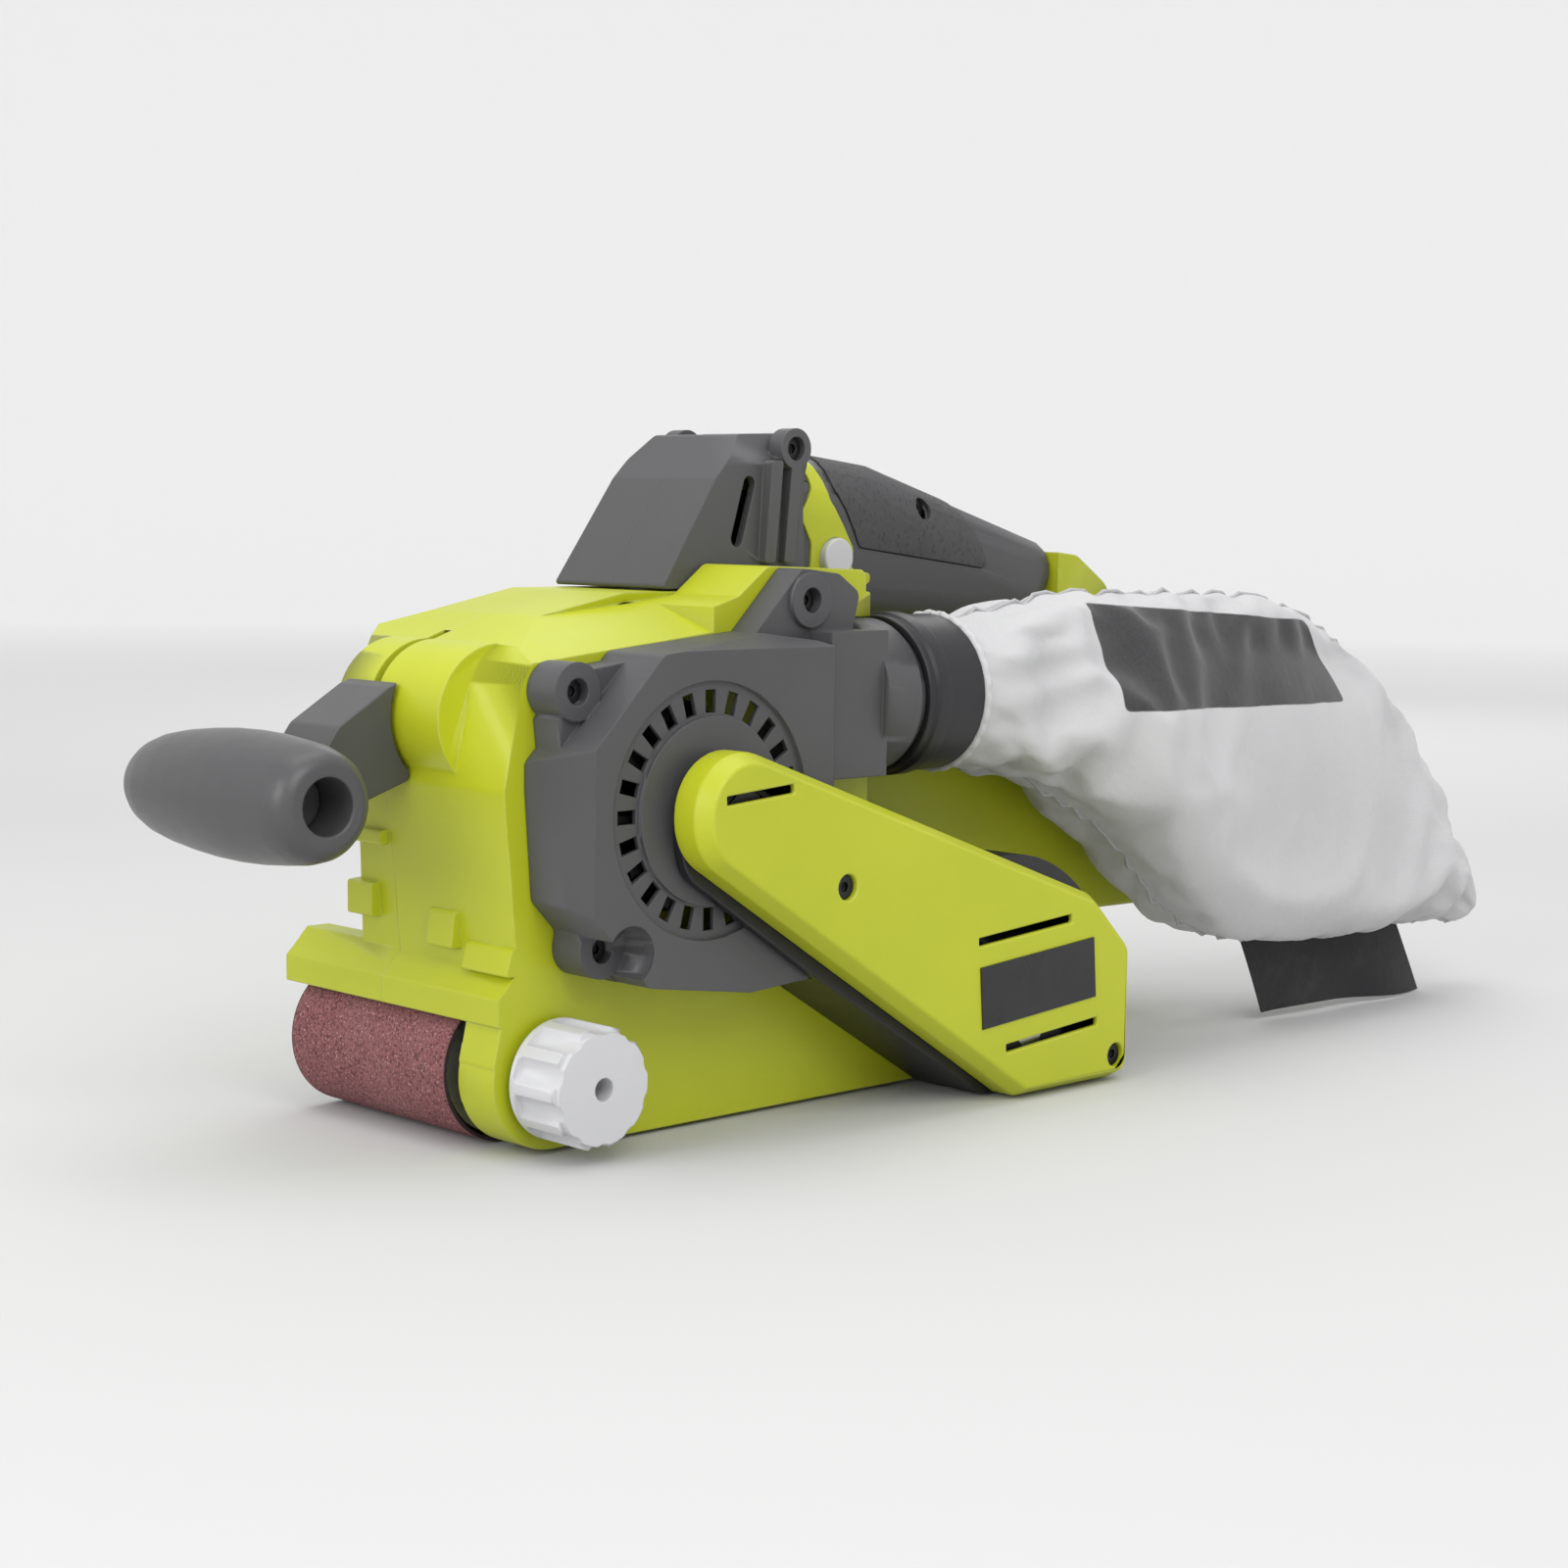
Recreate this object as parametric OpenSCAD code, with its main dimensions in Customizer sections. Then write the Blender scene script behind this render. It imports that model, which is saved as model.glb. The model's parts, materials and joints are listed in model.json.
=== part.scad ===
// Cordless handheld belt sander, in millimetres.
// X runs from the nose to the battery, -Y is the drive side, +Z is up.
// The origin is the centre of the sanding belt's flat underside.

/* [Sanding belt] */
// Width of the sanding belt
belt_w = 76; // [75:0.5:77]
// Length of the sanding belt around its loop
belt_loop = 457; // [456:0.5:458]
// Thickness of the sanding belt
belt_t = 1; // [0.9:0.05:1.1]
// Radius of the belt's inner face where it wraps a roller
wrap_r = 21; // [20.8:0.1:21.1]

/* [Housing] */
// Wall thickness of the moulded housings
wall = 3; // [2.6:0.1:3.2]
// Y of the housing's flat drive side
side_y = -59; // [-59.4:0.1:-59]
// Y of the motor block's other side
far_y = 46; // [44:0.5:48]
// Y of the seam between the housing halves
seam_y = -4; // [-4.2:0.1:-3.8]

/* [Motor and drive] */
// Height of the motor axis above the work
motor_z = 97.5; // [97:0.1:98]
// Radius of the motor pulley
motor_pulley_r = 7; // [6.5:0.1:7.5]
// Radius of the driven pulley on the rear roller
driven_pulley_r = 14.5; // [13.5:0.1:14.6]

/* [Handles] */
// Radius of the front handle's grip
grip_r = 18.8; // [17:0.1:20]
// Length of the front handle's grip
grip_len = 91; // [86:1:94]
// Furthest that the front handle tilts up, in degrees
tilt_max = 70; // [45:5:70]

/* [Dust port] */
// Outer radius of the dust port
port_r = 22; // [21:0.1:22]

/* [Hidden] */
$fn = 64;
eps = 0.01;
run_gap = 0.03;
fit_gap = 0.05;

// sanding belt, rollers and their axles
axle_z = wrap_r + belt_t;
axle_gap = (belt_loop - 2 * PI * (wrap_r + belt_t / 2)) / 2;
front_x = -axle_gap / 2;
rear_x = axle_gap / 2;
roller_len = belt_w - 4;
roller_r = wrap_r - 0.85;
roller_end_r = wrap_r - 1.4;
front_axle_r = 4;
drive_shaft_r = 6;
tension_travel = 6;
pad_top = 2.6;

// motor
motor_x = -42.5;
stator_r = 24.5;
motor_shaft_r = 4;
belt_plane = [-99, -90];

// housing
lime = [0.74, 0.79, 0.16];
grey = [0.32, 0.32, 0.33];
charcoal = [0.16, 0.15, 0.17];
steel = [0.72, 0.73, 0.75];
alloy = [0.62, 0.63, 0.64];
side_in = side_y + wall;
cheek_in = -43;
flange_y = [-45, -41];
nut_y = [6.6, 12.5];
rear_near_y = -34;
rear_far_y = 34;
pivot = [-81.8, 122.4];
pivot_r = 21.5;
slit = [-5.7, -2.3];
grip_axis = [-146.5, 102];

// motor cover and drive guard
cover_face = -84;
guard_face = -88;
drive_face = -102;
port_axis = [-60, 126];
port_end = 58;

// screws: clearance radius, head radius with its room, and the seats of each group
screw_r = 1.9;
hole_r = screw_r + fit_gap;
seat_r = 3.8;
head_h = 2.4;
block_seat = far_y - 14;

cover_bosses = [[-82, 132], [-72.5, 59], [8.5, 156]];
boss_face = -71.5;
boss_seat = -66;
drive_cover_seat = -98;
frame_holes = [[-36, 45.8], [40, 45.8], [106, 40]];
cover_screw_spots = [[-5.4, 74.3], [119, 9]];

// ---- drawing helpers: an outline is a list of [x, z, corner radius], anticlockwise ----
function xy(p) = [p[0], p[1]];
function unit(v) = v / norm(v);
function left_of(v) = [-v[1], v[0]];
function round_corner(a, b, c, r, n = 5) = let(
        u = unit(a - b),
        w = unit(c - b),
        half = acos(max(-1, min(1, u * w))) / 2,
        centre = b + unit(u + w) * r / sin(half),
        from = b + u * r / tan(half) - centre,
        turn = 180 - 2 * half,
        way = (u[0] * w[1] - u[1] * w[0]) > 0 ? -1 : 1,
        start = atan2(from[1], from[0]))
    [for (i = [0:n]) centre + r * [cos(start + way * turn * i / n), sin(start + way * turn * i / n)]];
function rounded(p) = let(n = len(p)) [for (i = [0:n - 1]) each
        p[i][2] > 0.2
        ? round_corner(xy(p[(i + n - 1) % n]), xy(p[i]), xy(p[(i + 1) % n]), p[i][2], p[i][2] > 12 ? 12 : 5)
        : [xy(p[i])]];
function inset(p, d) = let(n = len(p)) [for (i = [0:n - 1]) let(
        before = left_of(unit(xy(p[i]) - xy(p[(i + n - 1) % n]))),
        after = left_of(unit(xy(p[(i + 1) % n]) - xy(p[i]))),
        spot = xy(p[i]) + (before + after) * d / (1 + before * after))
    [spot[0], spot[1], max(0, p[i][2] - d)]];

module outline(p, d = 0) { polygon(rounded(inset(p, d))); }
module slab(y0, y1) { translate([0, y1, 0]) rotate([90, 0, 0]) linear_extrude(y1 - y0) children(); }
module plan(z0, z1) { translate([0, 0, z0]) linear_extrude(z1 - z0) children(); }
module cross(x0, x1) { translate([x0, 0, 0]) rotate([90, 0, 90]) linear_extrude(x1 - x0) children(); }
module box(low, high) { translate(low) cube(high - low); }
module rod_y(x, z, y0, y1, r) { translate([x, y1, z]) rotate([90, 0, 0]) cylinder(h = y1 - y0, r = r); }
module rod_x(y, z, x0, x1, r) { translate([x0, y, z]) rotate([0, 90, 0]) cylinder(h = x1 - x0, r = r); }
module rod_z(x, y, z0, z1, r) { translate([x, y, z0]) cylinder(h = z1 - z0, r = r); }
module tube_y(x, z, y0, y1, r_out, r_in) {
    difference() {
        rod_y(x, z, y0, y1, r_out);
        rod_y(x, z, y0 - 1, y1 + 1, r_in);
    }
}
function arc(c, r, from, to, n) = [for (i = [0:n]) let(turn = from + (to - from) * i / n)
    c + r * [cos(turn), sin(turn)]];
// a straight slot with round ends, in a 2-D outline
module slot_2d(from, to, w) {
    run = to - from;
    lean = atan2(run[1], run[0]);
    polygon(concat(arc(to, w / 2, lean - 90, lean + 90, 12), arc(from, w / 2, lean + 90, lean + 270, 12)));
}
// the stadium that a belt makes round two rollers of one size
module loop_2d(r) {
    translate([front_x, axle_z]) circle(r);
    translate([rear_x, axle_z]) circle(r);
    translate([front_x, axle_z - r]) square([axle_gap, 2 * r]);
}
// a belt's outline round two pulleys of different sizes
module open_belt_2d(a, ra, b, rb) {
    run = b - a;
    lean = asin((rb - ra) / norm(run));
    way = atan2(run[1], run[0]);
    wrap = 90 + lean;
    polygon(concat(arc(b, rb, way - wrap, way + wrap, 40), arc(a, ra, way + wrap, way + 360 - wrap, 30)));
}
// a screw along Y, its head towards -Y
module screw_y(x, z, y0, y1) {
    difference() {
        union() {
            rod_y(x, z, y0, y0 + head_h, 3.6);
            rod_y(x, z, y0 + head_h - eps, y1, screw_r);
        }
        rod_y(x, z, y0 - 1, y0 + 1.4, 1.6, $fn = 6);
    }
}
// a helical spring of round wire along +Z, built as one swept tube
module coil(r, wire, h, turns) {
    sides = 6;
    per_turn = 12;
    steps = turns * per_turn;
    ring = function(k) let(turn = 360 * k / per_turn) [for (j = [0:sides - 1])
        let(a = 360 * j / sides, reach = r + wire * cos(a))
        [reach * cos(turn), reach * sin(turn), wire + (h - 2 * wire) * k / steps + wire * sin(a)]];
    points = [for (k = [0:steps]) each ring(k)];
    walls = [for (k = [0:steps - 1]) for (j = [0:sides - 1])
        let(a = k * sides + j, b = k * sides + (j + 1) % sides)
        [a, a + sides, b + sides, b]];
    first = [for (j = [0:sides - 1]) j];
    last = [for (j = [sides - 1:-1:0]) steps * sides + j];
    polyhedron(points, concat([first], walls, [last]), convexity = 10);
}
module near_half() { intersection() { children(); box([-250, -150, -10], [450, seam_y, 260]); } }
module far_half() { intersection() { children(); box([-250, seam_y, -10], [450, 150, 260]); } }

// ---- lime housing ----
block_pts = [[-92.5, 50, 1], [46, 50, 1], [46, 157.8, 1], [-30, 157.5, 8], [-62, 151, 8], [-90, 141, 16],
    [-98, 104, 8]];
block_plan = [[-104, side_y, 0], [50, side_y, 0], [50, far_y, 4], [-60, far_y, 10], [-104, 4, 6]];
rear_pts = [[44, 50, 1], [102, 50, 3], [109, 44, 3], [232, 42, 6], [232, 118, 10], [204, 158, 12],
    [188, 168, 8], [178.4, 169, 0], [178.4, 149.6, 0], [172, 146, 6], [166, 112, 6], [158, 108, 6],
    [68, 108, 5], [62, 114, 6],
    [61, 149.6, 0], [52, 157.8, 0], [44, 157.8, 0]];
rear_section = [[rear_near_y, 40, 4], [rear_far_y, 40, 4], [rear_far_y, 118, 8], [15, 152, 6], [15, 172, 4],
    [-23, 172, 4], [-23, 152, 6], [rear_near_y, 118, 8]];
cheek_pts = [[front_x, 1.2, 0], [112, 1.2, 6], [122, 28, 8], [112, 53, 2], [-92.8, 53, 0], [-98, 41, 2],
    [-101.1, 27, 3], [-96, 10, 0]];
shoulder_pts = [[-20, 140, 0], [44, 140, 0], [44, 164.6, 3], [2, 166, 4], [-10, 157, 2], [-20, 154, 0]];
visor_pts = [[-99.6, 38, 0.6], [-84, 38, 0], [-84, 54, 0], [-92, 54, 0], [-97, 48.5, 2], [-99.6, 46, 1]];
nose_r = 20.8;
block_posts = [[-54, 60], [-4, 60], [34, 60], [-14, 141]];
// each rear post: X, Z, the Y where its screw ends and the Y of the screw's seat
rear_posts = [[116, 56, -24, 16], [148, 98, -24, 16], [196, 152, -15, 8]];
post_r = 4.6;

module roof_cut(y0, tip, side) {
    translate([-62, y0, 151 + tip]) rotate([0, -6.1, 0]) rotate([side * 16.7, 0, 0])
        translate([-60, side > 0 ? -90 : 0, 0]) cube([150, 90, 60]);
}
module block_form(d) {
    difference() {
        intersection() {
            slab(side_y + d, far_y - d) outline(block_pts, d);
            plan(40, 170) outline(block_plan, d);
        }
        roof_cut(-30, -d * 1.1, 1);
        roof_cut(22, -d * 1.1, -1);
    }
}
module rear_form(d) {
    intersection() {
        slab(rear_near_y + d, rear_far_y - d) outline(rear_pts, d);
        cross(40, 240) outline(rear_section, d);
    }
}
module cheek_2d(d) {
    outline(cheek_pts, d);
    translate([front_x, axle_z]) circle(nose_r - d);
}
module shoulder(y0, y1, d) {
    slab(y0 + d, y1 - d) outline(shoulder_pts, d);
}
module visor() {
    difference() {
        slab(side_y, 45) outline(visor_pts);
        rod_y(front_x, axle_z, -90, 60, 23.8);
    }
}
// front ledges and the ribs that stiffen the block's nose
module nose_ledges() {
    slab(side_y, -38) outline([[-96.8, 52, 0.6], [-88, 52, 0], [-88, 60, 0], [-94.6, 60, 1.5]]);
    slab(-34, -22) outline([[-97, 57, 1], [-88, 57, 0], [-88, 69, 0], [-95.8, 67.6, 1.5]]);
    slab(4, 16) outline([[-97.4, 62, 1], [-84, 62, 0], [-84, 73, 0], [-97.4, 72, 1]]);
    slab(-2, 13) outline([[-98.8, 84, 1], [-84, 84, 0], [-84, 90, 0], [-98.8, 88, 1]]);
}
// posts that the seam screws run through, filling the room between both side walls
module seam_posts() {
    intersection() {
        block_form(wall - eps);
        for (p = block_posts) rod_y(p[0], p[1], -80, 60, post_r);
    }
    intersection() {
        rear_form(wall - eps);
        for (p = rear_posts) rod_y(p[0], p[1], -80, 60, post_r);
    }
}
module seam_holes() {
    for (p = block_posts) {
        rod_y(p[0], p[1], -25, far_y + 1, hole_r);
        rod_y(p[0], p[1], block_seat, far_y + 1, seat_r);
    }
    for (p = rear_posts) {
        rod_y(p[0], p[1], p[2] - 1, far_y + 1, hole_r);
        rod_y(p[0], p[1], p[3], far_y + 1, seat_r);
    }
}
module handle_slit() {
    slab(slit[0], slit[1]) translate(pivot) circle(pivot_r + 3);
    rod_y(pivot[0], pivot[1], -60, 60, 4 + fit_gap);
}
// everything that passes through the lime housing
module housing_openings() {
    rod_y(motor_x, motor_z, side_y - 1, -40, 11 + fit_gap);
    rod_y(rear_x, axle_z, side_y - 1, cheek_in + 1, 18.5);
    slab(side_y - 1, side_in + 2) slot_2d([front_x, axle_z], [front_x + tension_travel, axle_z], 11.2);
    box([177.5, -30.5, 47.5], [240, 30.5, 116.5]);
    box([20, side_y - 1, 66], [40, side_in + 1, 86]);
    handle_slit();
}
module body_left() {
    color(lime)
    difference() {
        union() {
            near_half() {
                difference() {
                    union() {
                        block_form(0);
                        rear_form(0);
                        shoulder(side_y, -30.4, 0);
                    }
                    block_form(wall);
                    rear_form(wall);
                    box([40, rear_near_y + wall, 53], [52, 0, 104]);
                }
            }
            near_half() visor();
            near_half() nose_ledges();
            slab(side_y, cheek_in) cheek_2d(0);
            rod_y(pivot[0], pivot[1], -36, seam_y, pivot_r);
            near_half() seam_posts();
            rod_y(motor_x, motor_z, side_in - eps, -49, 14);
        }
        slab(side_in + 1, cheek_in + 1) cheek_2d(4);
        slab(cheek_in - 0.2, seam_y + 1) outline([[-100, -1, 0], [125, -1, 0], [125, 50, 0], [-84, 50, 0],
            [-84, 38, 0], [-100, 38, 0]]);
        box([-46, flange_y[0] - 0.2, 0], [125, seam_y, 50]);
        seam_holes();
        housing_openings();
        duct_form(0.3);
        for (p = cover_bosses) rod_y(p[0], p[1], side_y - 1, side_y + 14, hole_r);
        for (p = frame_holes) rod_y(p[0], p[1], -58, cheek_in, hole_r);
    }
    color(lime)
    for (p = frame_holes) tube_y(p[0], p[1], side_in + 1 - eps, flange_y[0], 4.5, hole_r);
}
module body_right() {
    color(lime)
    difference() {
        union() {
            far_half() {
                difference() {
                    union() {
                        block_form(0);
                        rear_form(0);
                    }
                    block_form(wall);
                    rear_form(wall);
                    box([40, -10, 53], [52, rear_far_y - wall, 104]);
                }
            }
            far_half() visor();
            far_half() nose_ledges();
            rod_y(pivot[0], pivot[1], seam_y, 13, pivot_r);
            far_half() seam_posts();
            rod_y(motor_x, motor_z, 13, far_y - wall + eps, 14);
        }
        seam_holes();
        rod_y(pivot[0], pivot[1], nut_y[0] - fit_gap, 40, 8.2, $fn = 6);
        rod_y(motor_x, motor_z, 12, 22, 11 + fit_gap);
        housing_openings();
    }
}

// ---- grey head and handle ----
head_pts = [[-14.5, 158.3, 1], [46, 158.3, 1], [46, 190, 3], [51, 207, 2], [22, 206, 3], [8.5, 192, 4]];
head_section = [[-30, 150, 1], [22, 150, 1], [20, 198, 5], [13, 210, 2], [-21, 210, 2], [-28, 198, 5]];
panel_pts = [[78, 170.5, 3], [138, 163.5, 3], [141, 164.5, 1.5], [136.5, 176, 4], [120, 200, 0],
    [67, 210, 0],
    [66.5, 190, 6]];
trim_pts = [[56, 158.4, 1], [84, 158.4, 2], [84, 162.4, 2], [74, 164, 3], [75.5, 170, 4], [64, 186, 6],
    [60, 206, 2], [55, 206, 1], [56.5, 190, 4], [51, 181, 3], [56, 172, 3]];
button_at = [66.5, 167.4];

// the handle's rounded form: g is how far the surface is moved out
module handle_form(g) {
    intersection() {
        hull() {
            for (p = [[50, 202.5, 17.5], [64, 200.5, 19], [90, 198, 19], [127, 187.5, 19], [163, 173, 18]])
                translate([p[0], seam_y, p[1] - p[2]]) sphere(p[2] + g, $fn = 28);
            for (x = [52, 172]) for (s = [-1, 1])
                translate([x, seam_y + 5 * s, 162.2]) sphere(12 + g, $fn = 16);
        }
        box([44, -40, 140], [178.2, 40, 210]);
    }
}
module head_form(d) {
    intersection() {
        slab(-30 + d, 22 - d) outline(head_pts, d);
        cross(-30, 60) outline(head_section, d);
    }
}
module head_shell() {
    difference() {
        union() {
            head_form(0);
            handle_form(0);
        }
        head_form(wall);
        handle_form(-wall);
        // way from the head into the handle, and the head's open underside
        box([42, -20, 164], [60, 12, 192]);
        box([-8, -24, 150], [46, 16, 162]);
        // room for the trigger, and for the lime housing in front and behind
        box([63.5, -10.5, 130], [98, 2.5, 156]);
        box([40, -40, 130], [61.4, 40, 158.1]);
        slab(-40, 40) outline([[165.4, 110, 0], [190, 110, 0], [190, 149.9, 0], [178.1, 149.9, 0],
            [171.4, 146.2, 0]]);
    }
}
module head_ribs(y0, y1) {
    for (x = [26, 34.5]) slab(y0, y1)
        outline([[x, 166, 1], [x + 4.5, 166, 1], [x + 7.5, 198, 1], [x + 3, 198, 1]]);
    rod_y(head_screw_spots[0][0], head_screw_spots[0][1], y0, y1, 6.4);
}
// each head screw: X, Z and the Y of its seat
head_screw_spots = [[39, 201.8, -28], [110.6, 183.4, -14.5]];
head_screw_end = 6;
module head_posts(y0, y1) {
    for (p = head_screw_spots) rod_y(p[0], p[1], max(y0, p[2]), y1, 5);
}
module head_screw_holes() {
    for (p = head_screw_spots) {
        rod_y(p[0], p[1], -40, head_screw_end + 1, hole_r);
        rod_y(p[0], p[1], -40, p[2], seat_r);
    }
}
module skin(inner, outer, pts, y0, y1) {
    intersection() {
        difference() {
            handle_form(outer);
            handle_form(inner);
        }
        slab(y0, y1) outline(pts);
    }
}
module head_left() {
    color(grey)
    difference() {
        union() {
            near_half() head_shell();
            near_half() head_ribs(-32.5, -26.5);
            head_posts(-28, seam_y);
            rod_y(button_at[0], button_at[1], -21.5, -12, 9);
        }
        skin(-1.2, 4, panel_pts, -40, -8);
        skin(-1.2, 4, trim_pts, -40, -8);
        head_screw_holes();
        rod_y(button_at[0], button_at[1], -40, -11, 6.5 + fit_gap);
        slab(-40, -20) slot_2d([17, 173.5], [22.8, 190.5], 5);
        rod_y(68, 155, -14, 1, 1.5 + fit_gap);
    }
}
module head_right() {
    color(grey)
    difference() {
        union() {
            far_half() head_shell();
            far_half() head_ribs(18.5, 24.5);
            head_posts(seam_y, 10);
        }
        skin(-1.2, 4, panel_pts, 0, 40);
        skin(-1.2, 4, trim_pts, 0, 40);
        head_screw_holes();
        slab(12, 40) slot_2d([17, 173.5], [22.8, 190.5], 5);
        rod_y(68, 155, -14, 6, 1.5 + fit_gap);
    }
}
module grip_left() { color(charcoal) grip_panel(-40, -8); }
module grip_right() { color(charcoal) grip_panel(0, 40); }
module grip_panel(y0, y1) {
    difference() {
        skin(-1.15, 0.6, inset(panel_pts, 0.25), y0, y1);
        head_screw_holes();
    }
}
module handle_trim_left() {
    color(lime)
    difference() {
        skin(-1.15, 0.8, inset(trim_pts, 0.2), -40, -8);
        rod_y(button_at[0], button_at[1], -40, 0, 6.5 + fit_gap);
    }
}
module handle_trim_right() { color(lime) skin(-1.15, 0.8, inset(trim_pts, 0.2), 0, 40); }

// ---- grey motor cover with its fan chamber, duct and dust port ----
cover_pts = [[-88.5, 73, 3], [-66, 49, 4], [-27, 43.5, 6], [-3, 45, 3], [10.5, 59, 4], [10.5, 143.5, 3],
    [-14, 146.8, 5], [-61, 142.3, 4], [-91.5, 111.5, 5]];
ear_pts = [[-16, 144, 0], [26, 142, 0], [30, 158, 3], [21, 163.8, 3], [5.5, 165.5, 3]];
boss_webs = [[[-86, 108, 0], [-60, 108, 0], [-60, 140, 0], [-76, 138, 0], [-88, 124, 0]],
    [[-66, 49, 0], [-60, 60, 0], [-70, 78, 0], [-81, 72, 0], [-80, 60, 0]]];
slot_count = 24;
duct_box = [[8, -80.5, 103], [32, -38.5, 147]];
module duct_form(g) {
    box(duct_box[0] - [g, g, g], duct_box[1] + [g, g, g]);
    rod_x(port_axis[0], port_axis[1], 30, 47, port_r + 1.8 + g);
}
// the cover's body with a chamfer down its front, along its top and behind
module cover_body() {
    difference() {
        slab(cover_face, side_y - 0.3) outline(cover_pts);
        translate([-86.2, cover_face, 0]) rotate([0, 0, 11]) translate([-30, -30, 40]) cube([30, 60, 110]);
        rod_y(cover_bosses[1][0], cover_bosses[1][1], -90, boss_face, 8.3);
        translate([0, -80, 144.5]) rotate([20, 0, 0]) translate([-100, -30, 0]) cube([112, 60, 30]);
        translate([6, cover_face, 0]) rotate([0, 0, 38]) translate([0, -30, 40]) cube([30, 60, 120]);
    }
}
module motor_cover() {
    ear_y = -70;
    far = side_y - 0.3;
    color(grey)
    difference() {
        union() {
            cover_body();
            slab(ear_y, far) outline(ear_pts);
            for (p = boss_webs) slab(ear_y, far) outline(p);
            for (p = cover_bosses) rod_y(p[0], p[1], boss_face, far, 8.3);
            box(duct_box[0], duct_box[1]);
            rod_x(port_axis[0], port_axis[1], 30, port_end, port_r);
            rod_x(port_axis[0], port_axis[1], 30, 44, port_r + 1.8);
        }
        // fan chamber, duct and port
        difference() {
            slab(cover_face + wall, side_y + 1) outline(cover_pts, wall + 2);
            rod_y(cover_bosses[1][0], cover_bosses[1][1], cover_face, side_y + 2, 10.8);
            rod_y(cover_screw_spots[0][0], cover_screw_spots[0][1], cover_face, -73, 4.4);
            translate([1, cover_face, 0]) rotate([0, 0, 38]) translate([0, -10, 40]) cube([30, 30, 120]);
        }
        box([0, -76.5, duct_box[0][2] + 4], [duct_box[1][0] - 2, -42.5, duct_box[1][2] - 4]);
        rod_x(port_axis[0], port_axis[1], 28, port_end + 1, port_r - 2);
        // vent ring
        slab(cover_face - 1, cover_face + 1.4) difference() {
            translate([motor_x, motor_z]) circle(37);
            translate([motor_x, motor_z]) circle(27);
        }
        for (i = [0:slot_count - 1]) translate([motor_x, cover_face - 1, motor_z])
            rotate([0, i * 360 / slot_count, 0]) translate([27.8, 0, -2]) cube([6.6, wall + 2, 4]);
        rod_y(motor_x, motor_z, cover_face - 1, cover_face + wall + 1, 8);
        rod_y(cover_screw_spots[0][0], cover_screw_spots[0][1], cover_face - 1, -76, hole_r);
        for (p = cover_bosses) {
            rod_y(p[0], p[1], -90, side_y + 1, hole_r);
            rod_y(p[0], p[1], -90, boss_seat, seat_r);
        }
    }
}

// ---- black belt guard and lime drive cover ----
drive_cover_pts = [[74.5, 0.9, 4], [127, 0.9, 6], [127, 44.5, 8], [109, 62, 8], [-61.5, 122.7, 17.6],
    [-61.5, 87.1, 17.6]];
guard_pts = [[69.9, 0.7, 2], [124, 0.7, 4], [124, 46, 4], [108, 60, 4], [-36, 112, 14], [-60, 98, 15],
    [-56, 80, 12], [-6, 47, 0]];
module guard_2d(d) {
    outline(guard_pts, d);
    intersection() {
        translate([rear_x, axle_z]) circle(53.7 - d);
        polygon([[60 + d, 40], [124 - d, 0.7 + d], [126 - d, 0.7 + d], [134, 22], [134, 80], [60 + d, 80]]);
    }
}
module drive_guard() {
    color(charcoal)
    difference() {
        union() {
            slab(guard_face, cover_face - 0.3) guard_2d(0);
            slab(guard_face, side_y - 0.3) difference() {
                guard_2d(0);
                outline(cover_pts, -0.5);
                translate([-100, -10]) square([97, 160]);
            }
        }
        slab(guard_face + wall, side_y + 1) difference() {
            guard_2d(wall);
            outline(cover_pts, -wall - 0.5);
            translate([-103, -10]) square([103, 160]);
        }
        rod_y(motor_x, motor_z, guard_face - 1, side_y, 7);
        rod_y(rear_x, axle_z, guard_face - 1, side_y, 9);
        for (p = cover_screw_spots) rod_y(p[0], p[1], guard_face - 1, -76, hole_r);
    }
    color(charcoal)
    for (p = cover_screw_spots) if (p[0] > 0) tube_y(p[0], p[1], guard_face + wall - eps, -76, 4, hole_r);
}
module cover_form(d, back) {
    hull() {
        slab(-97 + d, back) outline(drive_cover_pts, d);
        slab(drive_face + d, -95) outline(drive_cover_pts, d + 3);
    }
}
module tilted_slot(x, z, w, h) {
    translate([x, 0, z]) rotate([0, -4.5, 0])
        box([-w / 2, drive_face - 1, -h / 2], [w / 2, drive_face + 4, h / 2]);
}
module drive_cover() {
    color(lime)
    difference() {
        cover_form(0, guard_face - 0.3);
        difference() {
            cover_form(2.4, guard_face + 1);
            for (p = cover_screw_spots) rod_y(p[0], p[1], -110, -80, 5);
        }
        tilted_slot(-40.5, 103.4, 26, 2.6);
        tilted_slot(74, 54, 44, 2.6);
        tilted_slot(87.5, 19.5, 44, 2.6);
        for (p = cover_screw_spots) {
            rod_y(p[0], p[1], -110, -80, hole_r);
            rod_y(p[0], p[1], -110, drive_cover_seat, seat_r);
        }
    }
}
module cover_badge() {
    color(charcoal)
    translate([80, 0, 37]) rotate([0, -4.5, 0]) box([-27, drive_face - 0.5, -9.7], [27, drive_face, 9.7]);
}

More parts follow.
